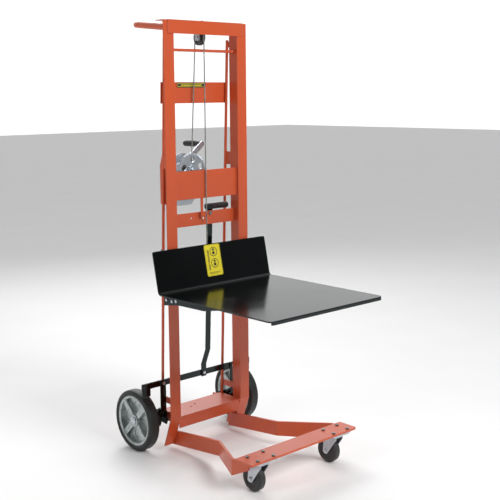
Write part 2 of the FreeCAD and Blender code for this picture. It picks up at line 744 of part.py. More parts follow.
side_points = [
    ("winch_base_x", "winch_low"),
    ("-75", "winch_low"),
    ("-35", "1060"),
    ("-30", "1175"),
    ("-48", "1186"),
    ("-66", "1186"),
    ("-86", "1160"),
    ("-112", "1150"),
    ("-128", "winch_high"),
    ("winch_base_x", "winch_high")]
side_holes = [("reel_x", "reel_z", "shaft_r"), ("crank_x", "crank_z", "shaft_r + run_fit")]
front_side = plate("winch_front_side", "y", side_points, "winch_front", "winch_wall",
                   side_holes, (1, 2, 3, 4, 5), "7")
rear_side = plate("winch_rear_side", "y", side_points, "winch_rear - winch_wall", "winch_wall",
                  side_holes, (1, 2, 3, 4, 5), "7")
winch_foot = box("winch_foot",
                 ("winch_base_wall", "winch_rear - winch_front", "winch_high - winch_low"),
                 ("winch_base_x", "winch_front", "winch_low"))
keep(fuse("winch_u", [front_side, rear_side, winch_foot]), "winch_frame")


sys.path.append(os.path.join(FreeCAD.getHomePath(), "Mod", "PartDesign"))
from fcgear import involute
from fcgear.fcgear import FCWireBuilder


def gear(name, teeth, width):
    """An involute spur gear on the origin's XY plane, padded up, with a little backlash."""
    module = value("gear_module")
    count = int(value(teeth))
    builder = FCWireBuilder()
    involute.CreateExternalGear(builder, module, count, 20, True, 0.95, 1.25, 0.3, BACKLASH)
    wire = Part.Wire([curve.toShape() for curve in builder.wire])
    blank = doc.addObject("Part::Feature", name)
    blank.Shape = Part.Face(wire).extrude(FreeCAD.Vector(0, 0, value(width)))
    return blank


BACKLASH = -0.08
mesh_angle = math.degrees(math.atan2(value("crank_z - reel_z"), value("crank_x - reel_x")))
tooth = 360 / value("gear_teeth")
pinion_tooth = 360 / value("pinion_teeth")


def face_rear(obj, turn, x, y, z):
    """Lay a gear flat against +Y, turned about its shaft."""
    upright = FreeCAD.Rotation(FreeCAD.Vector(1, 0, 0), -90)
    spin = FreeCAD.Rotation(FreeCAD.Vector(0, 0, 1), turn)
    obj.Placement = FreeCAD.Placement(
        FreeCAD.Vector(value(x), value(y), value(z)), upright * spin)


# Seen along the gears' own axis the line of centres lies at minus the mesh angle.
reel_gear = gear("reel_gear", "gear_teeth", "gear_w")
face_rear(reel_gear, -mesh_angle, "reel_x", "gear_y", "reel_z")
pinion = gear("pinion", "pinion_teeth", "gear_w + 2")
face_rear(pinion, -mesh_angle + 180 + pinion_tooth / 2, "crank_x", "gear_y - 1", "crank_z")

gear_tools = [cylinder("gear_bore", "shaft_r + run_fit", "40", ("reel_x", "gear_y - 5", "reel_z"), "y")]
for index in range(5):
    turn = math.radians(72 * index + 20)
    gear_tools.append(cylinder(f"gear_window{index}", "13", "gear_w + 4", (
        f"reel_x + 45*{math.cos(turn):.6f}",
        "gear_y - 2",
        f"reel_z + 45*{math.sin(turn):.6f}"), "y"))
keep(cut("gear_wheel", reel_gear, fuse("gear_tools", gear_tools)), "drive_gear")

drum_front = "gear_y + gear_w"
keep(turned("drum_body", [
    ("shaft_r + run_fit", f"{drum_front}"),
    ("drum_r", f"{drum_front}"),
    ("drum_r", "drum_rear"),
    ("flange_r", "drum_rear"),
    ("flange_r", "drum_rear + flange_wall"),
    ("13", "drum_rear + flange_wall"),
    ("13", "winch_rear - winch_wall - 1"),
    ("shaft_r + run_fit", "winch_rear - winch_wall - 1")],
    "y", ("reel_x", "0", "reel_z")), "drum")

# The rope on the drum: close turns, drawn as rings that touch, up to the turn that leaves.
COIL_TURNS = 6
coil_rings = []
coil_start = value(drum_front) + value("rope_r") + 0.5
for index in range(COIL_TURNS):
    ring = doc.addObject("Part::Torus", f"coil{index}")
    bind(ring, Radius1="drum_r + rope_r + 0.2", Radius2="rope_r + 0.15")
    ring.Placement.Rotation = TURNS["y"]
    put(ring, "reel_x", f"{coil_start} + {index}*2*rope_r", "reel_z")
    coil_rings.append(ring)
sleeve = cylinder("coil_sleeve", "drum_r + rope_r*0.8", f"{COIL_TURNS - 1}*2*rope_r",
                  ("reel_x", str(coil_start), "reel_z"), "y")
sleeve_bore = cylinder("coil_bore", "drum_r", "80", ("reel_x", drum_front, "reel_z"), "y")
keep(cut("coil_cut", fuse("coil_full", coil_rings + [sleeve]), sleeve_bore), "rope_coil")

shaft_bar = cylinder("reel_bar", "shaft_r", "winch_rear + 6 - (winch_front - 5)",
                     ("reel_x", "winch_front - 5", "reel_z"), "y")
shaft_head = cylinder("reel_bar_head", "shaft_r + 4", "5",
                      ("reel_x", "winch_front - 5", "reel_z"), "y")
shaft_nut = doc.addObject("Part::Prism", "reel_bar_nut")
shaft_nut.Polygon = 6
bind(shaft_nut, Circumradius="shaft_r + 4", Height="6")
shaft_nut.Placement.Rotation = TURNS["y"]
put(shaft_nut, "reel_x", "winch_rear", "reel_z")
keep(fuse("reel_pin", [shaft_bar, shaft_head, shaft_nut]), "reel_shaft")

# ---------------------------------------------------------------- crank shaft and crank
crank_rear = "crank_y + crank_deep"
crank_bar = cylinder("crank_bar", "shaft_r", f"{crank_rear} - (winch_front - 4)",
                     ("crank_x", "winch_front - 4", "crank_z"), "y")
crank_collar = cylinder("crank_collar", "shaft_r + 3", "crank_y - (ratchet_y + ratchet_w)",
                        ("crank_x", "ratchet_y + ratchet_w", "crank_z"), "y")
crank_ring = cylinder("crank_ring", "shaft_r + 3", "ratchet_y - winch_rear - 0.5",
                      ("crank_x", "winch_rear + 0.5", "crank_z"), "y")
crank_end = cylinder("crank_end", "shaft_r + 3", "3",
                     ("crank_x", "winch_front - 4", "crank_z"), "y")
keep(fuse("crank_spindle", [crank_bar, crank_collar, crank_ring, crank_end, pinion]),
     "crank_shaft")

ratchet_points = []
for index in range(int(value("ratchet_teeth"))):
    turn = 2 * math.pi * index / value("ratchet_teeth")
    after = turn + 2 * math.pi / value("ratchet_teeth") * 0.92
    for radius, angle in (("ratchet_r", turn), ("ratchet_r*0.8", after)):
        ratchet_points.append((
            f"crank_x + {radius}*{math.cos(angle):.6f}",
            f"crank_z + {radius}*{math.sin(angle):.6f}"))
keep(plate("ratchet", "y", ratchet_points, "ratchet_y", "ratchet_w",
           [("crank_x", "crank_z", "shaft_r")]), "ratchet_wheel")

crank_outline = [
    ("-crank_half", "-crank_half"),
    ("crank_length + crank_half", "-crank_half"),
    ("crank_length + crank_half", "crank_half"),
    ("-crank_half", "crank_half")]
crank_inner = [
    ("-crank_half + 3", "-crank_half + 3"),
    ("crank_length + crank_half - 3", "-crank_half + 3"),
    ("crank_length + crank_half - 3", "crank_half - 3"),
    ("-crank_half + 3", "crank_half - 3")]
crank_skin = plate("crank_skin", "y", crank_outline, "0", "crank_deep", (),
                   (0, 1, 2, 3), "crank_half - 0.5")
crank_trough = plate("crank_trough", "y", crank_inner, "3", "crank_deep", (),
                     (0, 1, 2, 3), "crank_half - 3.5")
crank_boss = cylinder("crank_boss", "shaft_r + 0.9", "crank_deep", ("0", "0", "0"), "y")
crank_knob_pin = cylinder("crank_knob_pin", "5", "crank_deep + knob_long + 3",
                          ("crank_length", "0", "0"), "y")
crank_knob_end = cylinder("crank_knob_end", "7.5", "2.5",
                          ("crank_length", "crank_deep + knob_long + 2.5", "0"), "y")
crank_bore = cylinder("crank_bore", "shaft_r", "40", ("0", "-5", "0"), "y")
crank_full = cut("crank_full", fuse("crank_sum", [
    cut("crank_channel", crank_skin, crank_trough), crank_boss, crank_knob_pin,
    crank_knob_end]), crank_bore)
crank_full.Placement = FreeCAD.Placement(
    FreeCAD.Vector(value("crank_x"), value("crank_y"), value("crank_z")),
    FreeCAD.Rotation(FreeCAD.Vector(0, 1, 0), -value("crank_turn")))
keep(crank_full, "crank_arm")

knob_profile = [("5 + run_fit", "0"), ("knob_r - 2", "0"), ("knob_r", "3")]
for index in range(8):
    knob_profile.append(("knob_r", f"{10 + 11 * index}"))
    knob_profile.append(("knob_r - 1.2", f"{12 + 11 * index}"))
    knob_profile.append(("knob_r - 1.2", f"{14 + 11 * index}"))
    knob_profile.append(("knob_r", f"{16 + 11 * index}"))
knob_profile += [("knob_r", "knob_long - 5"), ("knob_r - 3", "knob_long"), ("5 + run_fit", "knob_long")]
swing = math.radians(value("crank_turn"))
keep(turned("knob", knob_profile, "y", (
    f"crank_x + crank_length*{math.cos(swing):.8f}",
    "crank_y + crank_deep + 1",
    f"crank_z + crank_length*{math.sin(swing):.8f}")), "crank_grip")

# The pawl is drawn lifted, its nose just clear of the ratchet teeth.
pawl_x = "-84"
pawl_z = "1136"
PAWL_SHAPE = [
    (-4, 9), (-26, -1.5), (-30.5, -7.7), (-25, -8.5), (-8, -6), (0, -9),
    (8, -6), (9, 5), (10, 12), (6, 20), (1, 10)]
keep(plate("pawl_bar", "y",
           [(f"{pawl_x} + ({u})", f"{pawl_z} + ({v})") for u, v in PAWL_SHAPE],
    "ratchet_y", "ratchet_w", [(pawl_x, pawl_z, "4 + run_fit")]), "pawl")
pawl_stem = cylinder("pawl_stem", "4", "ratchet_y + ratchet_w + 1 - winch_rear",
                     (pawl_x, "winch_rear", pawl_z), "y")
pawl_head = cylinder("pawl_head", "7", "2",
                     (pawl_x, "ratchet_y + ratchet_w + 0.4", pawl_z), "y")
pawl_foot = cylinder("pawl_foot", "7", "ratchet_y - winch_rear - 0.4",
                     (pawl_x, "winch_rear", pawl_z), "y")
keep(fuse("pawl_peg", [pawl_stem, pawl_head, pawl_foot]), "pawl_pin")


# ---------------------------------------------------------------- platform and backrest
# One bent sheet: lip, platform, bend, leaning backrest.
lean = "(back_top_y - back_y)/(back_top_z - deck_z)"
sheet_side = plate("platform_side", "x", [
    ("deck_front", "deck_z - lip_drop"),
    ("deck_front + deck_wall", "deck_z - lip_drop"),
    ("deck_front + deck_wall", "deck_z - deck_wall"),
    (f"back_y + deck_wall - deck_wall*{lean}", "deck_z - deck_wall"),
    ("back_top_y + deck_wall", "back_top_z"),
    ("back_top_y", "back_top_z"),
    ("back_y", "deck_z"),
    ("deck_front", "deck_z")],
    "-deck_half", "2*deck_half")
doc.recompute()
soften(sheet_side, "x", [("back_y", "deck_z")], "back_bend")
doc.recompute()
soften(sheet_side, "x", [(f"back_y + deck_wall - deck_wall*{lean}", "deck_z - deck_wall")],
       "back_bend + deck_wall")
doc.recompute()
soften(sheet_side, "x", [("deck_front", "deck_z")], "4")
# Round the two front corners and the two upper corners of the backrest.
frame_plan = plate("platform_plan", "z", [
    ("-deck_half", "deck_front"),
    ("deck_half", "deck_front"),
    ("deck_half", "back_top_y + 40"),
    ("-deck_half", "back_top_y + 40")],
    "deck_z - 60", "300", (), (0, 1), "deck_corner")
frame_face = plate("platform_face", "y", [
    ("-deck_half", "deck_z - 60"),
    ("deck_half", "deck_z - 60"),
    ("deck_half", "back_top_z"),
    ("-deck_half", "back_top_z")],
    "deck_front - 5", "800", (), (2, 3), "8")
keep(common("platform_trim", common("platform_cut", sheet_side, frame_plan), frame_face),
     "platform")

# ---------------------------------------------------------------- cheeks and ties
under = "deck_z - deck_wall"
cheek_right = plate("cheek", "x", [
    ("mast_face + 20", "626"),
    ("mast_face + 20", "700"),
    ("mast_face + 36", "760"),
    ("mast_face + 36", "852"),
    (f"back_y + deck_wall + (852 - deck_z)*{lean} + 1", "852"),
    (f"back_y + deck_wall + (730 - deck_z)*{lean} + 1", "730"),
    (f"back_y + deck_wall - deck_wall*{lean} + 1", under),
    ("-200", under),
    ("-200", f"{under} - 12"),
    ("-28", "643"),
    ("mast_face - 71", "640")],
    "cheek_x", "cheek_wall")
pair("carriage_cheeks", cheek_right)
low_tie = box("tie_low", ("2*cheek_x", "5", "40"), ("-cheek_x", "mast_face - 42", "640"))
mid_tie = box("tie_mid", ("2*cheek_x", "5", "30"), ("-cheek_x", "0", f"{under} - 30"))
high_tie = box("tie_high", ("2*cheek_x", "6", "30"), ("-cheek_x", "mast_face - 13", "800"))

# The rope's eye plate behind the upper tie.
lug = box("lug_block", ("22", "14", "16"), ("rope_x - 11", "mast_face - 7", "804"))
keep(group("tie_bars", [low_tie, mid_tie, high_tie, lug]), "carriage_ties")

# ---------------------------------------------------------------- guide rollers
roller_sites = {
    "low": ("mast_face - roller_r - roller_gap", "roller_low_z"),
    "high": ("mast_face + angle_wall + roller_r + roller_gap", "roller_high_z"),
}
pins = []
for site, (site_y, site_z) in roller_sites.items():
    roller = turned("roller_" + site, [
        ("roller_pin_r + run_fit", "0"),
        ("roller_r - 2", "0"),
        ("roller_r", "2"),
        ("roller_r", "roller_w - 2"),
        ("roller_r - 2", "roller_w"),
        ("roller_pin_r + run_fit", "roller_w")],
        "x", ("roller_in", site_y, site_z))
    keep(roller, f"roller_{site}_right")
    keep(mirror(f"roller_{site}_twin", roller), f"roller_{site}_left")
    pin = cylinder(f"pin_{site}", "roller_pin_r", "cheek_x - roller_in + 1",
                   ("roller_in - 1", site_y, site_z), "x")
    neck = cylinder(f"pin_neck_{site}", "roller_pin_r + 4", "cheek_x - roller_in - roller_w - 0.5",
                    ("roller_in + roller_w + 0.5", site_y, site_z), "x")
    pins.append(fuse(f"roller_pin_{site}", [pin, neck]))
keep(group("pin_group", pins + [mirror(item.Name + "_twin", item) for item in pins]),
     "roller_pins")

carriage_bolts = []
for index, (bolt_y, bolt_z) in enumerate((("mast_face + 2", "651"), ("mast_face - 34", "650"),
                                          ("mast_face - 60", "655"), ("mast_face + 22", "830"))):
    carriage_bolts.append(bolt(f"cheek_bolt{index}", ("cheek_x + cheek_wall", bolt_y, bolt_z),
                               "x", 5, 7, 4))
keep(group("cheek_bolt_group",
           carriage_bolts + [mirror(item.Name + "_twin", item) for item in carriage_bolts]),
     "carriage_bolts")


# ---------------------------------------------------------------- rear wheels
tyre = keep(turned("tyre_ring", [
    ("rim_r", "4"),
    ("rim_r + 6", "0"),
    ("wheel_r - 9", "0"),
    ("wheel_r - 2", "5"),
    ("wheel_r", "11"),
    ("wheel_r", "tyre_w - 11"),
    ("wheel_r - 2", "tyre_w - 5"),
    ("wheel_r - 9", "tyre_w"),
    ("rim_r + 6", "tyre_w"),
    ("rim_r", "tyre_w - 4")],
    "x", ("wheel_in", "axle_y", "wheel_r")), "tyre_right")
keep(mirror("tyre_twin", tyre), "tyre_left")
rim = turned("rim_ring", [
    ("rim_in_r", "7"),
    ("rim_r", "4"),
    ("rim_r", "tyre_w - 4"),
    ("rim_in_r", "tyre_w - 7")],
    "x", ("wheel_in", "axle_y", "wheel_r"))
boss = cylinder("hub_boss", "hub_r", "tyre_w - 6", ("wheel_in", "axle_y", "wheel_r"), "x")
web = cylinder("hub_web", "rim_in_r + 1", "6", ("wheel_in + 20", "axle_y", "wheel_r"), "x")
windows = []
for index in range(4):
    turn = math.radians(90 * index)
    windows.append(cylinder(f"hub_window{index}", "19", "20", (
        "wheel_in + 12",
        f"axle_y + 60*{math.cos(turn):.6f}",
        f"wheel_r + 60*{math.sin(turn):.6f}"), "x"))
spokes = []
for index in range(2):
    spoke = doc.addObject("Part::Box", f"hub_spoke{index}")
    bind(spoke, Length="tyre_w - 18", Width="2*rim_in_r", Height="24")
    spoke.Placement.Rotation = FreeCAD.Rotation(FreeCAD.Vector(1, 0, 0), 45 + 90 * index)
    reach = FreeCAD.Vector(0, -value("rim_in_r"), -12)
    corner = spoke.Placement.Rotation.multVec(reach)
    put(spoke, "wheel_in + 9", f"axle_y + ({corner.y:.6f})", f"wheel_r + ({corner.z:.6f})")
    spokes.append(spoke)
hub_bore = cylinder("hub_bore", "axle_r + run_fit", "tyre_w + 4",
                    ("wheel_in - 2", "axle_y", "wheel_r"), "x")
disc = cut("hub_disc", web, fuse("hub_windows", windows))
hub = keep(cut("hub_casting", fuse("hub_sum", [rim, boss, disc] + spokes), hub_bore),
           "hub_right")
keep(mirror("hub_twin", hub), "hub_left")
cap = turned("axle_cap", [
    ("0.0", "0"),
    ("axle_r + 5", "0"),
    ("axle_r + 5", "2"),
    ("axle_r + 1", "4.5"),
    ("0.0", "4.5")],
    "x", ("wheel_in + tyre_w - 5.5", "axle_y", "wheel_r"))
cap_core = cylinder("cap_core", "axle_r", "10",
                    ("wheel_in + tyre_w - 11", "axle_y", "wheel_r"), "x")
axle_cap = cut("cap_ring", cap, cap_core)
spacer = cylinder("spacer_skin", "axle_r + 6", "wheel_in - axle_tube_half - 0.4",
                  ("axle_tube_half", "axle_y", "wheel_r"), "x")
spacer_bore = cylinder("spacer_bore", "axle_r", "20", ("axle_tube_half - 2", "axle_y", "wheel_r"),
                       "x")
washer = cut("spacer_ring", spacer, spacer_bore)
keep(group("axle_set", [axle_cap, washer, mirror("cap_twin", axle_cap),
                        mirror("washer_twin", washer)]), "axle_caps")

# ---------------------------------------------------------------- casters
plate_low = "bar_z - caster_plate_wall"
wheel_y = "caster_y + caster_trail"
caster_half_x = "caster_plate_x/2"
caster_half_y = "caster_plate_y/2"
caster_plate = plate("caster_sheet", "z", [
    (f"caster_x - {caster_half_x}", f"caster_y - {caster_half_y}"),
    (f"caster_x + {caster_half_x}", f"caster_y - {caster_half_y}"),
    (f"caster_x + {caster_half_x}", f"caster_y + {caster_half_y}"),
    (f"caster_x - {caster_half_x}", f"caster_y + {caster_half_y}")],
    plate_low, "caster_plate_wall",
    [(f"caster_x {a} bolt_dx/2", f"caster_y {b} bolt_dy/2", "bolt_hole_r")
     for a in "+-" for b in "+-"], (0, 1, 2, 3), "6")
race = turned("caster_race", [
    ("0.0", "0"),
    ("15", "0"),
    ("15", "3"),
    ("27", "4"),
    ("30", "7"),
    ("30", "10"),
    ("0.0", "10")],
    "z", ("caster_x", "caster_y", f"{plate_low} - 10"))
pair("caster_plates", fuse("caster_mount", [caster_plate, race]))

fork_top = f"{plate_low} - 10.4"
fork_gap = "(caster_w/2 + 2)"
crown = plate("fork_crown", "z", [
    (f"caster_x - {fork_gap} - fork_wall", "caster_y - 22"),
    (f"caster_x + {fork_gap} + fork_wall", "caster_y - 22"),
    (f"caster_x + {fork_gap} + fork_wall", "caster_y + 26"),
    (f"caster_x - {fork_gap} - fork_wall", "caster_y + 26")],
    f"{fork_top} - 5", "5")
fork_sides = []
for tag, sign in (("a", "+"), ("b", "-")):
    start = f"caster_x + {fork_gap}" if sign == "+" else f"caster_x - {fork_gap} - fork_wall"
    fork_sides.append(plate("fork_side_" + tag, "x", [
        ("caster_y - 22", fork_top),
        ("caster_y - 22", f"{fork_top} - 12"),
        (f"{wheel_y} - 14", "caster_r - 4"),
        (f"{wheel_y} - 8", "caster_r - 13"),
        (f"{wheel_y} + 8", "caster_r - 13"),
        (f"{wheel_y} + 14", "caster_r - 4"),
        ("caster_y + 44", f"{fork_top} - 22"),
        ("caster_y + 26", fork_top)],
        start, "fork_wall"))
caster_bolt = cylinder("caster_bolt", "caster_pin_r", f"2*({fork_gap} + fork_wall) + 8",
                       (f"caster_x - {fork_gap} - fork_wall - 4", wheel_y, "caster_r"), "x")
caster_nuts = []
for tag, start in (("a", f"caster_x + {fork_gap} + fork_wall"),
                   ("b", f"caster_x - {fork_gap} - fork_wall - 6")):
    nut = doc.addObject("Part::Prism", "caster_nut_" + tag)
    nut.Polygon = 6
    bind(nut, Circumradius="caster_pin_r + 3.5", Height="6")
    nut.Placement.Rotation = TURNS["x"]
    put(nut, start, wheel_y, "caster_r")
    caster_nuts.append(nut)
fork = keep(fuse("fork_full", [crown] + fork_sides + [caster_bolt] + caster_nuts),
            "caster_fork_right")
keep(mirror("fork_twin", fork), "caster_fork_left")
caster_wheel = keep(turned("caster_disc", [
    ("caster_pin_r + run_fit", "-caster_w/2 - 1.5"),
    ("11", "-caster_w/2 - 1.5"),
    ("13", "-caster_w/2 + 3"),
    ("30", "-caster_w/2 + 3"),
    ("33", "-caster_w/2"),
    ("caster_r - 5", "-caster_w/2"),
    ("caster_r", "-caster_w/2 + 6"),
    ("caster_r", "caster_w/2 - 6"),
    ("caster_r - 5", "caster_w/2"),
    ("33", "caster_w/2"),
    ("30", "caster_w/2 - 3"),
    ("13", "caster_w/2 - 3"),
    ("11", "caster_w/2 + 1.5"),
    ("caster_pin_r + run_fit", "caster_w/2 + 1.5")],
    "x", ("caster_x", wheel_y, "caster_r")), "caster_wheel_right")
keep(mirror("caster_disc_twin", caster_wheel), "caster_wheel_left")

# ---------------------------------------------------------------- brake
brake_bar = box("brake_strip", ("2*brake_half", "brake_wall", "brake_tall"),
                ("-brake_half", "brake_y", "brake_low"))
shoe = box("brake_shoe", ("40", "brake_wall", "32"), ("brake_half - 42", "brake_y", "brake_low - 30"))
keep(fuse("brake_beam", [brake_bar, shoe, mirror("brake_shoe_twin", shoe)]), "brake_bar")
arm_blade = box("arm_blade", ("arm_w", "brake_wall", "brake_low + brake_tall - 165"),
                ("arm_in", "brake_y - brake_wall", "165"))
arm_lug = box("arm_lug", ("arm_w", "pivot_y - brake_y + brake_wall", "16"),
              ("arm_in", "brake_y - brake_wall", "165 - 8"))
arm_barrel = cylinder("arm_barrel", "pivot_r + 4", "arm_w", ("arm_in", "pivot_y", "pivot_z"), "x")
arm_bore = cylinder("arm_bore", "pivot_r + run_fit", "arm_w + 4",
                    ("arm_in - 2", "pivot_y", "pivot_z"), "x")
pair("brake_arms", cut("brake_arm", fuse("arm_sum", [arm_blade, arm_lug, arm_barrel]), arm_bore))

lever_foot_z = "brake_low - 4"
lever_start_y = "brake_y - lever_wall"
lever_plan = plate("lever_face", "y", [
    ("lever_foot_x - lever_w/2", lever_foot_z),
    ("lever_foot_x + lever_w/2", lever_foot_z),
    ("lever_foot_x + lever_w/2", "320"),
    ("lever_top_x + lever_w/2", "380"),
    ("lever_top_x + lever_w/2", "lever_top_z + 4"),
    ("lever_top_x - lever_w/2", "lever_top_z + 4"),
    ("lever_top_x - lever_w/2", "380"),
    ("lever_foot_x - lever_w/2", "320")],
    "150", "200")
lever_side = plate("lever_side", "x", [
    (lever_start_y, lever_foot_z),
    ("brake_y", lever_foot_z),
    ("brake_y", "320"),
    ("lever_top_y + lever_wall", "lever_top_z + 4"),
    ("lever_top_y", "lever_top_z + 4"),
    (lever_start_y, "320")],
    "0", "100")
keep(common("lever_bar", lever_plan, lever_side), "brake_lever")

grip_start = "lever_top_x - 9"
grip_profile = [("0.0", "0"), ("brake_grip_r", "0")]
grip_run = value(f"brake_grip_end - ({grip_start})")
rib_count = 14
rib_pitch = (grip_run - 12) / rib_count
for index in range(rib_count):
    start = 4 + rib_pitch * index
    grip_profile.append(("brake_grip_r", f"{start:.3f}"))
    grip_profile.append(("brake_grip_r - 1.5", f"{start + rib_pitch * 0.3:.3f}"))
    grip_profile.append(("brake_grip_r - 1.5", f"{start + rib_pitch * 0.6:.3f}"))
    grip_profile.append(("brake_grip_r", f"{start + rib_pitch * 0.9:.3f}"))
grip_profile += [("brake_grip_r", f"brake_grip_end - ({grip_start}) - 4"),
                 ("brake_grip_r - 3", f"brake_grip_end - ({grip_start})"),
                 ("0.0", f"brake_grip_end - ({grip_start})")]
grip_y = "lever_top_y + lever_wall + brake_grip_r - 2"
grip_relief = box("grip_relief", ("lever_w + 6", "lever_wall + 2.4", "60"),
                  ("lever_top_x - lever_w/2 - 3", "lever_top_y - 1.5", "lever_top_z - 40"))
grip_body = turned("grip_body", grip_profile, "x", (grip_start, grip_y, "lever_top_z"))
keep(cut("grip_cut", grip_body, grip_relief), "brake_grip")

pins_in = "arm_in - 6.5"
brake_pin = cylinder("brake_pin", "pivot_r", "arm_w + 13", (pins_in, "pivot_y", "pivot_z"), "x")
ear_points = [
    ("mast_face + 78", "118"),
    ("pivot_y - 14", "pivot_z + 8"),
    ("pivot_y - 6", "pivot_z + 14"),
    ("pivot_y + 8", "pivot_z + 12"),
    ("axle_y + 12", "wheel_r + 18"),
    ("axle_y + 18", "wheel_r - 10"),
    ("axle_y - 6", "wheel_r - 20"),
    ("mast_face + 86", "100")]
ear_holes = [("axle_y", "wheel_r", "axle_tube_r"), ("pivot_y", "pivot_z", "pivot_r")]
ear_in = plate("ear_in", "x", ear_points, "arm_in - 6", "5", ear_holes)
ear_out = plate("ear_out", "x", ear_points, "arm_in + arm_w + 1", "5", ear_holes)
ear_set = [ear_in, ear_out, brake_pin]
keep(group("ear_group", ear_set + [mirror(item.Name + "_twin", item) for item in ear_set]),
     "brake_brackets")

brake_bolts = [
    bolt("lever_bolt", ("lever_foot_x", lever_start_y, "brake_low + 12"), "y", 10, 7, 4, -1),
    bolt("arm_bolt", ("arm_in + arm_w/2", lever_start_y, "brake_low + 12"), "y", 10, 7, 4, -1)]
keep(group("brake_bolt_group", brake_bolts + [mirror("arm_bolt_twin", brake_bolts[1])]),
     "brake_bolts")

# ---------------------------------------------------------------- frame fasteners
frame_bolts = [
    bolt("head_bolt_a", ("rope_x - 6", "sheave_y + 9", "mast_top + head_wall"), "z", 7, 6, 4),
    bolt("head_bolt_b", ("rope_x + 6", "sheave_y - 9", "mast_top + head_wall"), "z", 7, 6, 4),
    bolt("mount_bolt_a", ("winch_base_x + winch_base_wall", "276", "1166"), "x", 9, 7, 5),
    bolt("mount_bolt_b", ("winch_base_x + winch_base_wall", "250", "1078"), "x", 9, 7, 5),
    bolt("mount_bolt_c", ("winch_base_x + winch_base_wall", "297", "1078"), "x", 9, 7, 5),
    bolt("lower_bolt", ("33", "low_y", "977"), "y", 4, 8, 5, -1)]
caster_bolts = []
for step_x in "+-":
    for step_y in "+-":
        caster_bolts.append(bolt(
            f"caster_bolt{len(caster_bolts)}",
            (f"caster_x {step_x} bolt_dx/2", f"caster_y {step_y} bolt_dy/2",
             "bar_z + bar_wall"), "z", 12, 7, 5))
caster_bolts += [mirror(item.Name + "_twin", item) for item in caster_bolts]
keep(group("frame_bolt_group", frame_bolts + caster_bolts), "frame_bolts")

# ---------------------------------------------------------------- fits
def clear(label, others):
    """Cut a node free of the nodes that pass through it or lie in its corner."""
    node = next(item for item in NODES if item.Label == label)
    tools = [item for item in NODES if item.Label in others]
    NODES.remove(node)
    node.Label = label + "_blank"
    keep(cut(label + "_cleared", node, group(label + "_tools", tools)), label)


for drilled in ("brake_arms", "brake_bar", "brake_lever"):
    clear(drilled, ["brake_bolts"])
clear("carriage_cheeks", ["carriage_bolts"])
for drilled in ("sheave_bracket", "top_crossbar", "winch_frame", "winch_mount"):
    clear(drilled, ["frame_bolts"])
clear("weld_beads", ["mast_left", "mast_right", "mid_plate", "lower_plate", "top_crossbar",
                     "tie_rod"])

# ---------------------------------------------------------------- check and write
doc.recompute()
for item in doc.Objects:
    for trouble in ("Invalid", "Error"):
        if trouble in item.State:
            raise RuntimeError(f"{item.Name} failed: {item.getStatusString()}")
os.makedirs("parts", exist_ok=True)
for node in NODES:
    shape = node.Shape
    if shape.isNull() or not shape.isValid():
        raise RuntimeError(f"{node.Label} has no valid shape")
    shape.exportStep(f"parts/{node.Label}.step")
    box_size = shape.BoundBox
    print(
        node.Label,
        len(shape.Solids),
        f"{box_size.XMin:.1f}..{box_size.XMax:.1f}",
        f"{box_size.YMin:.1f}..{box_size.YMax:.1f}",
        f"{box_size.ZMin:.1f}..{box_size.ZMax:.1f}")
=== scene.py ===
import math

import bmesh
import bpy
from mathutils import Matrix, Vector


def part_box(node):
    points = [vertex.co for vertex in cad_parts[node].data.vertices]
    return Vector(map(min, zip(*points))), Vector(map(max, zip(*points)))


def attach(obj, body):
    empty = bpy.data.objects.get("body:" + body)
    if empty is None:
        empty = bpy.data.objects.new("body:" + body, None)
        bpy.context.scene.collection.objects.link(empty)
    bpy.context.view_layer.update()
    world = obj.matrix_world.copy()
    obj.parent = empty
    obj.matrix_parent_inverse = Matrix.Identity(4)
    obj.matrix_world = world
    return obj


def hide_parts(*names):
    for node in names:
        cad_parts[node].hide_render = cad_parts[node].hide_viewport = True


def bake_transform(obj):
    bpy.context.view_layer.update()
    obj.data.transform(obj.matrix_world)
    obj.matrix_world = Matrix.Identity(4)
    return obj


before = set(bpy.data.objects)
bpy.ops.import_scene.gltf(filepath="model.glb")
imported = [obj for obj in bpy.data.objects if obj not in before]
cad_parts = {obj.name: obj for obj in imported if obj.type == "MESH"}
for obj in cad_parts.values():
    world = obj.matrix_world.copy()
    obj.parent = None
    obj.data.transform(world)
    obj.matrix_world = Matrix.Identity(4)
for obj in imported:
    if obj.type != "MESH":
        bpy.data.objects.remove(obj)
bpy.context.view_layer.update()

# Measures that the pieces share with the truck, in metres.
AXLE_Y, AXLE_Z = 0.353, 0.127
ROPE_R = 0.0025
ROPE_EXIT_Y = 0.2725
SHEAVE_LINE_R, DRUM_LINE_R, COIL_LINE_R = 0.028, 0.0278, 0.0277
PLATE_LEAN = math.radians(2.3084)
BACK_FOOT = Vector((0, 0.152, 0.692))
BACK_TOP = Vector((0, 0.187, 0.856))


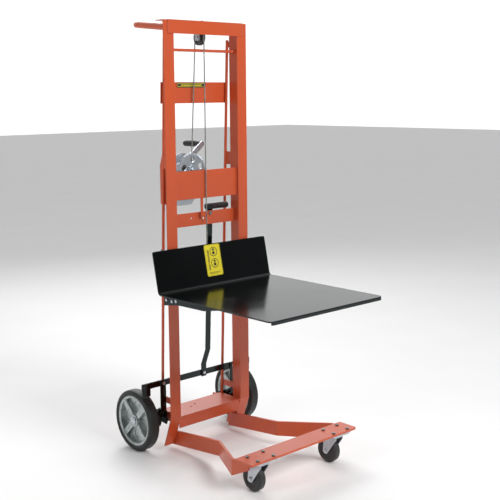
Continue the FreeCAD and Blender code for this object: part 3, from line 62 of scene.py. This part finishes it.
# ------------------------------------------------------------------ materials
class Nodes:
    """A small helper for one node material."""

    def __init__(self, name):
        self.material = bpy.data.materials.new(name)
        self.material.use_nodes = True
        self.tree = self.material.node_tree
        self.tree.nodes.clear()
        self.out = self.add("ShaderNodeOutputMaterial")
        self.shader = self.add("ShaderNodeBsdfPrincipled")
        self.link(self.shader.outputs["BSDF"], self.out.inputs["Surface"])
        self.coords = self.add("ShaderNodeTexCoord")

    def add(self, kind, **settings):
        node = self.tree.nodes.new(kind)
        for key, value in settings.items():
            setattr(node, key, value)
        return node

    def link(self, source, target):
        self.tree.links.new(source, target)

    def set(self, **values):
        for key, value in values.items():
            self.shader.inputs[key.replace("_", " ")].default_value = value

    def noise(self, scale, detail=3.0, rough=0.55, stretch=None):
        node = self.add("ShaderNodeTexNoise")
        node.inputs["Scale"].default_value = scale
        node.inputs["Detail"].default_value = detail
        node.inputs["Roughness"].default_value = rough
        if stretch is None:
            self.link(self.coords.outputs["Object"], node.inputs["Vector"])
        else:
            mapping = self.add("ShaderNodeMapping")
            mapping.inputs["Scale"].default_value = stretch
            self.link(self.coords.outputs["Object"], mapping.inputs["Vector"])
            self.link(mapping.outputs["Vector"], node.inputs["Vector"])
        return node.outputs["Fac"]

    def ramp(self, source, low, high, start=0.0, end=1.0):
        node = self.add("ShaderNodeMapRange")
        node.inputs["From Min"].default_value = low
        node.inputs["From Max"].default_value = high
        node.inputs["To Min"].default_value = start
        node.inputs["To Max"].default_value = end
        self.link(source, node.inputs["Value"])
        return node.outputs["Result"]

    def math(self, operation, a, b):
        node = self.add("ShaderNodeMath", operation=operation, use_clamp=True)
        for index, item in enumerate((a, b)):
            if isinstance(item, (int, float)):
                node.inputs[index].default_value = item
            else:
                self.link(item, node.inputs[index])
        return node.outputs[0]

    def mix(self, factor, a, b):
        node = self.add("ShaderNodeMix", data_type="RGBA")
        if isinstance(factor, (int, float)):
            node.inputs[0].default_value = factor
        else:
            self.link(factor, node.inputs[0])
        for index, item in ((6, a), (7, b)):
            if isinstance(item, tuple):
                node.inputs[index].default_value = (*item, 1.0)
            else:
                self.link(item, node.inputs[index])
        return node.outputs[2]

    def edge(self, radius, gain):
        """0 on flat faces, 1 along sharp edges."""
        bevel = self.add("ShaderNodeBevel", samples=6)
        bevel.inputs["Radius"].default_value = radius
        geometry = self.add("ShaderNodeNewGeometry")
        dot = self.add("ShaderNodeVectorMath", operation="DOT_PRODUCT")
        self.link(bevel.outputs["Normal"], dot.inputs[0])
        self.link(geometry.outputs["Normal"], dot.inputs[1])
        return self.math("MULTIPLY", self.math("SUBTRACT", 1.0, dot.outputs["Value"]), gain), bevel

    def bump(self, height, strength, distance, normal=None):
        node = self.add("ShaderNodeBump")
        node.inputs["Strength"].default_value = strength
        node.inputs["Distance"].default_value = distance
        self.link(height, node.inputs["Height"])
        if normal is not None:
            self.link(normal, node.inputs["Normal"])
        return node.outputs["Normal"]

    def colour(self, source):
        self.link(source, self.shader.inputs["Base Color"])

    def rough(self, source):
        self.link(source, self.shader.inputs["Roughness"])

    def normal(self, source):
        self.link(source, self.shader.inputs["Normal"])


def enamel(name, base, worn, edge_highlight, roughness, coat, peel=0.00012, grime=0.35, gloss=0.5,
           tint=(1.0, 1.0, 1.0)):
    """Sprayed enamel: orange peel, faint random drift of tone, a painted highlight along the edges,
    dust in places.
    """
    n = Nodes(name)
    n.set(Coat_Weight=coat, Coat_Roughness=0.06, Specular_IOR_Level=gloss,
          Specular_Tint=(*tint, 1.0))
    edge, bevel = n.edge(0.0022, 2.2)
    patch = n.noise(5.0, 4.0)
    fine = n.noise(380.0, 2.0)
    scratch = n.noise(60.0, 5.0, 0.7, (1.0, 1.0, 0.12))
    drift = n.mix(n.ramp(patch, 0.35, 0.7, 0.0, grime), base, worn)
    chips = n.math("MULTIPLY", edge, n.ramp(n.noise(140.0, 4.0), 0.42, 0.62))
    # Painted highlight: the edges are lifted toward a paler colour.
    edge_lit = n.mix(n.math("MULTIPLY", edge, 0.55), drift, edge_highlight)
    n.colour(n.mix(n.math("MULTIPLY", chips, 0.25), edge_lit, tuple(0.5 * c for c in base)))
    blend = n.math("ADD", n.ramp(patch, 0.3, 0.75, roughness * 0.8, roughness * 1.3),
                   n.ramp(scratch, 0.62, 0.8, 0.0, 0.12))
    n.rough(blend)
    peel_height = n.noise(330.0, 2.0)
    n.normal(n.bump(peel_height, 0.25, peel, n.bump(fine, 0.05, 0.00005, bevel.outputs["Normal"])))
    return n.material


def steel(name, base, tint, roughness, metallic=1.0, brushed=(1.0, 1.0, 0.06), bump=0.00006):
    """Plated or bare steel: cloudy plating, fine scratches, a painted highlight along the edges."""
    n = Nodes(name)
    n.set(Metallic=metallic)
    edge, bevel = n.edge(0.001, 1.6)
    cloud = n.noise(45.0, 5.0, 0.6)
    line = n.noise(420.0, 3.0, 0.6, brushed)
    mixed = n.mix(n.ramp(cloud, 0.35, 0.7), base, tint)
    # Painted highlight: the edges are lifted to a brighter copy of the base colour.
    n.colour(n.mix(n.math("MULTIPLY", edge, 0.4), mixed, tuple(min(1.0, 1.35 * c) for c in base)))
    n.rough(n.math("ADD", n.ramp(cloud, 0.3, 0.7, roughness * 0.75, roughness * 1.2),
                   n.ramp(line, 0.4, 0.7, 0.0, 0.1)))
    n.normal(n.bump(line, 0.25, bump, bevel.outputs["Normal"]))
    return n.material


def rubber(name, base, dusty, roughness, grain=900.0):
    """Rubber or moulded plastic: fine grain, dusty patches, a painted highlight along the edges."""
    n = Nodes(name)
    edge, bevel = n.edge(0.0015, 1.5)
    patch = n.noise(22.0, 5.0, 0.65)
    fine = n.noise(grain, 3.0)
    colour = n.mix(n.ramp(patch, 0.4, 0.75, 0.0, 0.8), base, dusty)
    # Painted highlight: the edges are lifted to a brighter colour.
    n.colour(n.mix(n.math("MULTIPLY", edge, 0.35), colour, tuple(min(1.0, 2.2 * c) for c in dusty)))
    n.rough(n.ramp(patch, 0.3, 0.7, roughness * 0.85, min(1.0, roughness * 1.15)))
    n.normal(n.bump(fine, 0.35, 0.00012, bevel.outputs["Normal"]))
    return n.material


def printed(name, base, second, roughness=0.35):
    """Ink on a vinyl label: slight mottling under a satin film."""
    n = Nodes(name)
    n.set(Coat_Weight=0.4, Coat_Roughness=0.2)
    patch = n.noise(60.0, 3.0)
    n.colour(n.mix(n.ramp(patch, 0.35, 0.7, 0.0, 0.6), base, second))
    n.rough(n.ramp(patch, 0.3, 0.7, roughness * 0.9, roughness * 1.15))
    n.normal(n.bump(n.noise(500.0, 2.0), 0.1, 0.00004))
    return n.material


# The third colour given to each enamel is its painted highlight along the edges.
ORANGE = enamel("orange_enamel", (0.60, 0.088, 0.023), (0.50, 0.068, 0.019),
                (0.84, 0.30, 0.20), 0.34, 0.22)
BLACK = enamel("black_enamel", (0.0024, 0.0027, 0.0028), (0.0042, 0.0047, 0.0048),
               (0.020, 0.024, 0.023), 0.15, 0.0, 0.00003, 0.5, 0.42, (0.80, 0.97, 1.0))
ZINC = steel("zinc_plate", (0.60, 0.64, 0.69), (0.50, 0.55, 0.60), 0.30)
DARK = steel("dark_steel", (0.10, 0.10, 0.105), (0.16, 0.15, 0.15), 0.38, 0.85)
DULL = steel("dark_zinc", (0.15, 0.19, 0.20), (0.24, 0.29, 0.30), 0.34, 0.9)
ALLOY = steel("cast_alloy", (0.50, 0.54, 0.53), (0.30, 0.34, 0.34), 0.36, 0.95, (1, 1, 1), 0.00016)
WIRE = steel("wire_rope", (0.34, 0.36, 0.33), (0.20, 0.21, 0.19), 0.42, 0.9)
WELD = enamel("weld_enamel", (0.54, 0.082, 0.024), (0.42, 0.060, 0.020),
              (0.84, 0.36, 0.26), 0.32, 0.4, 0.0006)
TYRE = rubber("tyre_rubber", (0.007, 0.008, 0.008), (0.016, 0.017, 0.017), 0.50)
CASTER = rubber("caster_rubber", (0.022, 0.022, 0.024), (0.055, 0.054, 0.052), 0.5)
PLASTIC = rubber("black_plastic", (0.007, 0.007, 0.008), (0.016, 0.016, 0.016), 0.42, 600.0)
YELLOW = printed("label_yellow", (0.88, 0.74, 0.030), (0.78, 0.66, 0.026))
INK = printed("label_ink", (0.010, 0.010, 0.010), (0.020, 0.020, 0.020), 0.4)

LOOKS = {
    ORANGE: ["mast_left", "mast_right", "top_crossbar", "handle", "tie_rod", "brace_rods",
             "mid_plate", "lower_plate", "upper_plate", "hanger_strap", "crossmember",
             "leg_bars", "front_crossbar", "axle_tube", "axle_brackets", "winch_mount"],
    WELD: ["weld_beads"],
    BLACK: ["platform", "carriage_cheeks", "carriage_ties", "brake_bar", "brake_arms",
            "brake_lever", "brake_brackets"],
    DULL: ["frame_bolts"],
    ZINC: ["winch_frame", "drum", "drive_gear", "crank_shaft", "ratchet_wheel", "crank_arm",
           "pawl", "pawl_pin", "reel_shaft", "carriage_bolts", "brake_bolts", "roller_pins",
           "rear_axle", "axle_caps", "sheave_pin", "sheave_bracket", "caster_plates",
           "caster_fork_left", "caster_fork_right"],
    DARK: ["roller_low_left", "roller_low_right", "roller_high_left", "roller_high_right",
           "head_sheave"],
    WIRE: ["rope_front_fall", "rope_rear_fall", "rope_coil"],
    PLASTIC: ["crank_grip", "brake_grip"],
    TYRE: ["tyre_left", "tyre_right"],
    CASTER: ["caster_wheel_left", "caster_wheel_right"],
    ALLOY: ["hub_left", "hub_right"],
}
for material, names in LOOKS.items():
    for name in names:
        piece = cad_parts[name]
        piece.data.materials.clear()
        piece.data.materials.append(material)


# ------------------------------------------------------------------ pieces
def mesh_piece(name, points, faces, material, body):
    """A new mesh that rides on a body."""
    mesh = bpy.data.meshes.new(name)
    mesh.from_pydata([tuple(p) for p in points], [], faces)
    mesh.validate()
    obj = bpy.data.objects.new(name, mesh)
    bpy.context.scene.collection.objects.link(obj)
    mesh.materials.append(material)
    for polygon in mesh.polygons:
        polygon.use_smooth = True
    if body:
        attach(obj, body)
    return obj


def frames_along(path):
    """Two directions square to the path at each of its points, without twist."""
    tangents = []
    for index in range(len(path)):
        before = path[max(index - 1, 0)]
        after = path[min(index + 1, len(path) - 1)]
        tangents.append((after - before).normalized())
    side = tangents[0].orthogonal().normalized()
    result = []
    for tangent in tangents:
        side = (side - tangent * side.dot(tangent)).normalized()
        result.append((side, tangent.cross(side).normalized()))
    return result


def rope(name, path, radius, body, pitch=0.022, strands=6, sides=6):
    """A stranded wire rope along a path: strands laid side by side in a helix."""
    path = [Vector(p) for p in path]
    axes = frames_along(path)
    lengths = [0.0]
    for a, b in zip(path, path[1:]):
        lengths.append(lengths[-1] + (b - a).length)
    strand_r = radius * 0.36
    ring_r = radius - strand_r
    points, faces = [], []
    for strand in range(strands):
        base = len(points)
        for place, (u, v), run in zip(path, axes, lengths):
            turn = 2 * math.pi * (run / pitch + strand / strands)
            out = u * math.cos(turn) + v * math.sin(turn)
            along = u.cross(v)
            across = along.cross(out)
            centre = place + out * ring_r
            for corner in range(sides):
                angle = 2 * math.pi * corner / sides
                points.append(centre + out * (strand_r * math.cos(angle))
                              + across * (strand_r * math.sin(angle)))
        count = len(path)
        for ring in range(count - 1):
            for corner in range(sides):
                step = (corner + 1) % sides
                a = base + ring * sides
                b = a + sides
                faces.append((a + corner, a + step, b + step, b + corner))
        faces.append(tuple(base + corner for corner in reversed(range(sides))))
        last = base + (count - 1) * sides
        faces.append(tuple(last + corner for corner in range(sides)))
    return mesh_piece(name, points, faces, WIRE, body)


def steps(a, b, spacing):
    """Points along a straight stretch."""
    a, b = Vector(a), Vector(b)
    count = max(2, int((b - a).length / spacing))
    return [a.lerp(b, index / count) for index in range(count + 1)]


def arc(centre, radius, first, last, axis, count):
    """Points along an arc about X or Y, angles in degrees."""
    points = []
    for index in range(count + 1):
        turn = math.radians(first + (last - first) * index / count)
        u, v = radius * math.cos(turn), radius * math.sin(turn)
        offset = Vector((0, u, v)) if axis == "x" else Vector((u, 0, v))
        points.append(Vector(centre) + offset)
    return points


STEP = 0.0015

# The front fall stretches between the frame and the carriage.
low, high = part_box("rope_front_fall")
rope_x = (low[0] + high[0]) / 2
front_y = (low[1] + high[1]) / 2
top, foot = high[2], low[2]
fall_top, fall_foot = (rope_x, front_y, top), (rope_x, front_y, foot)
front = rope("wire_front", steps(fall_top, fall_foot, STEP), ROPE_R, None)
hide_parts("rope_front_fall")
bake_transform(front)

# The rear fall runs over the head sheave, down to the drum and half round it.
low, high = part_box("head_sheave")
sheave = Vector(((low[0] + high[0]) / 2, (low[1] + high[1]) / 2, (low[2] + high[2]) / 2))
low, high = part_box("reel_shaft")
reel = Vector(((low[0] + high[0]) / 2, ROPE_EXIT_Y, (low[2] + high[2]) / 2))
over = arc(sheave, SHEAVE_LINE_R, 180, 0, "x", 48)
down = steps(sheave + Vector((0, SHEAVE_LINE_R, 0)), reel + Vector((DRUM_LINE_R, 0, 0)), STEP)
round_drum = arc(reel, DRUM_LINE_R, 0, -180, "y", 48)
rear = rope("wire_rear", over + down[1:] + round_drum[1:], ROPE_R, "frame")
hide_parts("rope_rear_fall")

# The stored turns on the drum.
COIL_TURNS, TURN_STEPS, COIL_INSET = 5, 60, 0.0027
low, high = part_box("rope_coil")
start_y, end_y = low[1] + COIL_INSET, high[1] - COIL_INSET
turns = []
for index in range(COIL_TURNS * TURN_STEPS + 1):
    angle = 2 * math.pi * index / TURN_STEPS
    share = index / (COIL_TURNS * TURN_STEPS)
    turns.append((reel.x + COIL_LINE_R * math.cos(angle), start_y + (end_y - start_y) * share,
                  reel.z + COIL_LINE_R * math.sin(angle)))
coil = rope("wire_coil", turns, ROPE_R, "reel")
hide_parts("rope_coil")

# Radius and height above the rope's end, up the sleeve.
SLEEVE = [(0.0046, -0.004), (0.0052, -0.002), (0.0052, 0.014), (0.0044, 0.0165), (0.0030, 0.017)]


def sleeve(sides=20):
    """The pressed sleeve that holds the rope's end on the carriage's lug."""
    points, faces = [], []
    for radius, rise in SLEEVE:
        for corner in range(sides):
            angle = 2 * math.pi * corner / sides
            points.append((rope_x + radius * math.cos(angle), front_y + radius * 0.8 * math.sin(angle),
                           foot + rise))
    last = (len(SLEEVE) - 1) * sides
    for ring in range(len(SLEEVE) - 1):
        for corner in range(sides):
            step = (corner + 1) % sides
            a, b = ring * sides, (ring + 1) * sides
            faces.append((a + corner, a + step, b + step, b + corner))
    faces.append(tuple(reversed(range(sides))))
    faces.append(tuple(range(last, last + sides)))
    return mesh_piece("rope_sleeve", points, faces, ZINC, "carriage")


sleeve()


POCKET_LINE_R, POCKET_R = 0.060, 0.0195
POCKET_NEAR, POCKET_FAR = 0.2720, 0.2735


def pockets(name, side, body, sides=32):
    """The cast floors of a rear hub's four pockets."""
    points, faces = [], []
    for quarter in range(4):
        turn = math.radians(90 * quarter)
        middle_y = AXLE_Y + POCKET_LINE_R * math.cos(turn)
        middle_z = AXLE_Z + POCKET_LINE_R * math.sin(turn)
        base = len(points)
        for x in (POCKET_NEAR, POCKET_FAR):
            for corner in range(sides):
                angle = 2 * math.pi * corner / sides
                points.append((side * x, middle_y + POCKET_R * math.cos(angle),
                               middle_z + POCKET_R * math.sin(angle)))
        near = [base + corner for corner in range(sides)]
        far = [base + sides + corner for corner in range(sides)]
        faces.append(tuple(reversed(near)) if side > 0 else tuple(near))
        faces.append(tuple(far) if side > 0 else tuple(reversed(far)))
        for corner in range(sides):
            step = (corner + 1) % sides
            strip = (near[corner], near[step], far[step], far[corner])
            faces.append(strip if side > 0 else tuple(reversed(strip)))
    piece = mesh_piece(name, points, faces, ALLOY, body)
    for polygon in piece.data.polygons:
        polygon.use_smooth = False


pockets("hub_pockets_right", 1, "wheel_right")
pockets("hub_pockets_left", -1, "wheel_left")


# ------------------------------------------------------------------ labels
def rounded(width, tall, radius, sides=6):
    """Outline of a rounded rectangle about its centre."""
    points = []
    for sx, sy, first in ((1, 1, 0), (-1, 1, 90), (-1, -1, 180), (1, -1, 270)):
        for index in range(sides + 1):
            turn = math.radians(first + 90 * index / sides)
            points.append((sx * (width / 2 - radius) + radius * math.cos(turn),
                           sy * (tall / 2 - radius) + radius * math.sin(turn)))
    return points


def circle(radius, sides=40):
    return [(radius * math.cos(2 * math.pi * i / sides), radius * math.sin(2 * math.pi * i / sides))
            for i in range(sides)]


def decal(name, outline, centre, right, up, lift, material, body, hole=None):
    """A thin film cut to an outline, laid on a face at a small height, with its own edge."""
    out = right.cross(up).normalized()
    film = 0.00012
    bm = bmesh.new()

    def ring(points, height):
        return [bm.verts.new(centre + right * u + up * v + out * height) for u, v in points]

    front_ring = ring(outline, lift + film)
    back_ring = ring(outline, lift)
    count = len(outline)
    for index in range(count):
        step = (index + 1) % count
        bm.faces.new((back_ring[index], back_ring[step], front_ring[step], front_ring[index]))
    if hole is None:
        bm.faces.new(front_ring)
        bm.faces.new(list(reversed(back_ring)))
    else:
        inner_front = ring(hole, lift + film)
        inner_back = ring(hole, lift)
        for index in range(count):
            step = (index + 1) % count
            bm.faces.new((front_ring[index], front_ring[step], inner_front[step], inner_front[index]))
            bm.faces.new((back_ring[step], back_ring[index], inner_back[index], inner_back[step]))
            bm.faces.new((inner_front[index], inner_front[step], inner_back[step], inner_back[index]))
    bmesh.ops.recalc_face_normals(bm, faces=bm.faces)
    mesh = bpy.data.meshes.new(name)
    bm.to_mesh(mesh)
    bm.free()
    obj = bpy.data.objects.new(name, mesh)
    bpy.context.scene.collection.objects.link(obj)
    mesh.materials.append(material)
    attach(obj, body)
    return obj


# Heights of the label fields and of the ink over the faces that carry them.
FIELD_LIFT, INK_LIFT, STRIP_LIFT, STRIP_INK_LIFT = 0.0002, 0.00036, 0.0003, 0.00046
LABEL_X, LABEL_Z = -0.001, 0.7895
SIGN_X = LABEL_X + 0.005
across = Vector((1, 0, 0))
back_up = (BACK_TOP - BACK_FOOT).normalized()


def on_back(x, z):
    """A point on the backrest's leaning front face."""
    share = (z - BACK_FOOT.z) / (BACK_TOP.z - BACK_FOOT.z)
    return Vector((x, BACK_FOOT.lerp(BACK_TOP, share).y, z))


def mark(name, shape, spot, hole=None):
    """Black ink on the safety label."""
    decal(name, shape, spot, across, back_up, INK_LIFT, INK, "carriage", hole)


label = on_back(LABEL_X, LABEL_Z)
decal("safety_label", rounded(0.084, 0.130, 0.008), label, across, back_up, FIELD_LIFT, YELLOW,
      "carriage")
mark("safety_border", rounded(0.081, 0.127, 0.0068), label, rounded(0.0795, 0.1255, 0.0060))
for index, z in enumerate((0.823, 0.777)):
    spot = on_back(SIGN_X, z)
    mark(f"sign_ring{index}", circle(0.0195), spot, circle(0.0168))
    mark(f"sign_block{index}", rounded(0.0125, 0.0115, 0.002), spot - back_up * 0.005)
    mark(f"sign_head{index}", circle(0.0052, 20), spot + back_up * 0.0085)
for index, (shift, z, tall) in enumerate(((-0.0215, 0.806, 0.052), (-0.0265, 0.791, 0.084),
                                          (-0.0215, 0.762, 0.022))):
    mark(f"side_bar{index}", rounded(0.0028, tall, 0.0009), on_back(LABEL_X + shift, z))
for index, (shift, wide, z) in enumerate(((0.0, 0.058, 0.7405), (-0.006, 0.046, 0.736))):
    mark(f"foot_bar{index}", rounded(wide, 0.0018, 0.0007), on_back(LABEL_X + shift, z))

# The strip label on the upper plate carries plain bars only.
STRIP_X, STRIP_Z, STRIP_OUT = -0.0205, 1.504, 0.0006
low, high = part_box("upper_plate")
plate_up = Vector((0, -math.sin(PLATE_LEAN), math.cos(PLATE_LEAN)))
strip_y = low[1] + (high[2] - STRIP_Z) * math.tan(PLATE_LEAN) - STRIP_OUT
strip = Vector((STRIP_X, strip_y, STRIP_Z))
decal("strip_label", rounded(0.150, 0.020, 0.003), strip, across, plate_up, STRIP_LIFT, INK, "frame")
decal("strip_line", rounded(0.142, 0.014, 0.002), strip, across, plate_up, STRIP_INK_LIFT, YELLOW,
      "frame", rounded(0.139, 0.011, 0.0015))
decal("strip_bar", rounded(0.110, 0.0035, 0.0012), strip, across, plate_up, STRIP_INK_LIFT, YELLOW,
      "frame")

# ------------------------------------------------------------------ stage
FLOOR_HALF = 30.0
floor_mesh = bpy.data.meshes.new("floor")
floor_mesh.from_pydata([(x * FLOOR_HALF, y * FLOOR_HALF, 0)
                        for x, y in ((-1, -1), (1, -1), (1, 1), (-1, 1))], [], [(0, 1, 2, 3)])
floor = bpy.data.objects.new("floor", floor_mesh)
bpy.context.scene.collection.objects.link(floor)
floor_nodes = Nodes("floor_pale")
floor_nodes.set(Roughness=0.6)
floor_nodes.colour(floor_nodes.mix(floor_nodes.ramp(floor_nodes.noise(2.0, 3.0), 0.3, 0.7),
                                   (0.93, 0.93, 0.93), (0.91, 0.91, 0.91)))
floor_mesh.materials.append(floor_nodes.material)

# A studio: a white sweep behind the truck, a dim room on the near side.
SWEEP_SIDE = (0.675, 0.738, 0.0)
DIM_END, WHITE_END = -0.15, 0.55
DIM_LIGHT, WHITE_LIGHT = 0.10, 1.12
world = bpy.data.worlds.new("studio")
bpy.context.scene.world = world
world.use_nodes = True
room = world.node_tree
sky = room.nodes["Background"]
spot = room.nodes.new("ShaderNodeTexCoord")
facing = room.nodes.new("ShaderNodeVectorMath")
facing.operation = "DOT_PRODUCT"
facing.inputs[1].default_value = SWEEP_SIDE
span = room.nodes.new("ShaderNodeMapRange")
span.interpolation_type = "SMOOTHSTEP"
span.inputs["From Min"].default_value = DIM_END
span.inputs["From Max"].default_value = WHITE_END
span.inputs["To Min"].default_value = DIM_LIGHT
span.inputs["To Max"].default_value = WHITE_LIGHT
room.links.new(spot.outputs["Generated"], facing.inputs[0])
room.links.new(facing.outputs["Value"], span.inputs["Value"])
room.links.new(span.outputs["Result"], sky.inputs["Strength"])
sky.inputs["Color"].default_value = (1.0, 1.0, 1.0, 1.0)


def lamp(name, place, target, size, power):
    """A soft area light that looks at a point."""
    light = bpy.data.lights.new(name, "AREA")
    light.shape = "RECTANGLE"
    light.size, light.size_y = size
    light.energy = power
    obj = bpy.data.objects.new(name, light)
    bpy.context.scene.collection.objects.link(obj)
    obj.location = place
    obj.rotation_euler = (Vector(target) - Vector(place)).to_track_quat("-Z", "Y").to_euler()
    return obj


lamp("key", (0.3, -3.9, 3.3), (0, 0, 0.8), (1.6, 1.6), 150)
lamp("fill", (-3.9, 0.4, 2.4), (0, 0, 0.9), (1.6, 2.0), 40)
lamp("back", (1.6, 3.2, 3.0), (0, 0, 1.0), (2.0, 1.2), 60)

# ------------------------------------------------------------------ camera
CAMERA_PLACE = (-2.4589, -2.7403, 1.4632)
YAW, PITCH, ROLL = math.radians(42.44), math.radians(7.735), math.radians(-0.497)
forward = Vector((math.cos(PITCH) * math.sin(YAW), math.cos(PITCH) * math.cos(YAW), -math.sin(PITCH)))
right = Vector((math.cos(YAW), -math.sin(YAW), 0.0))
up = right.cross(forward)
turned_right = right * math.cos(ROLL) + up * math.sin(ROLL)
turned_up = up * math.cos(ROLL) - right * math.sin(ROLL)
camera_data = bpy.data.cameras.new("camera")
camera_data.lens = 67.47
camera_data.sensor_width = 36.0
camera_data.shift_y = -0.056
camera_data.clip_end = 100.0
camera = bpy.data.objects.new("camera", camera_data)
bpy.context.scene.collection.objects.link(camera)
matrix = Matrix((turned_right, turned_up, -forward)).transposed().to_4x4()
matrix.translation = Vector(CAMERA_PLACE)
camera.matrix_world = matrix
bpy.context.scene.camera = camera

bpy.context.scene.view_settings.view_transform = "Standard"
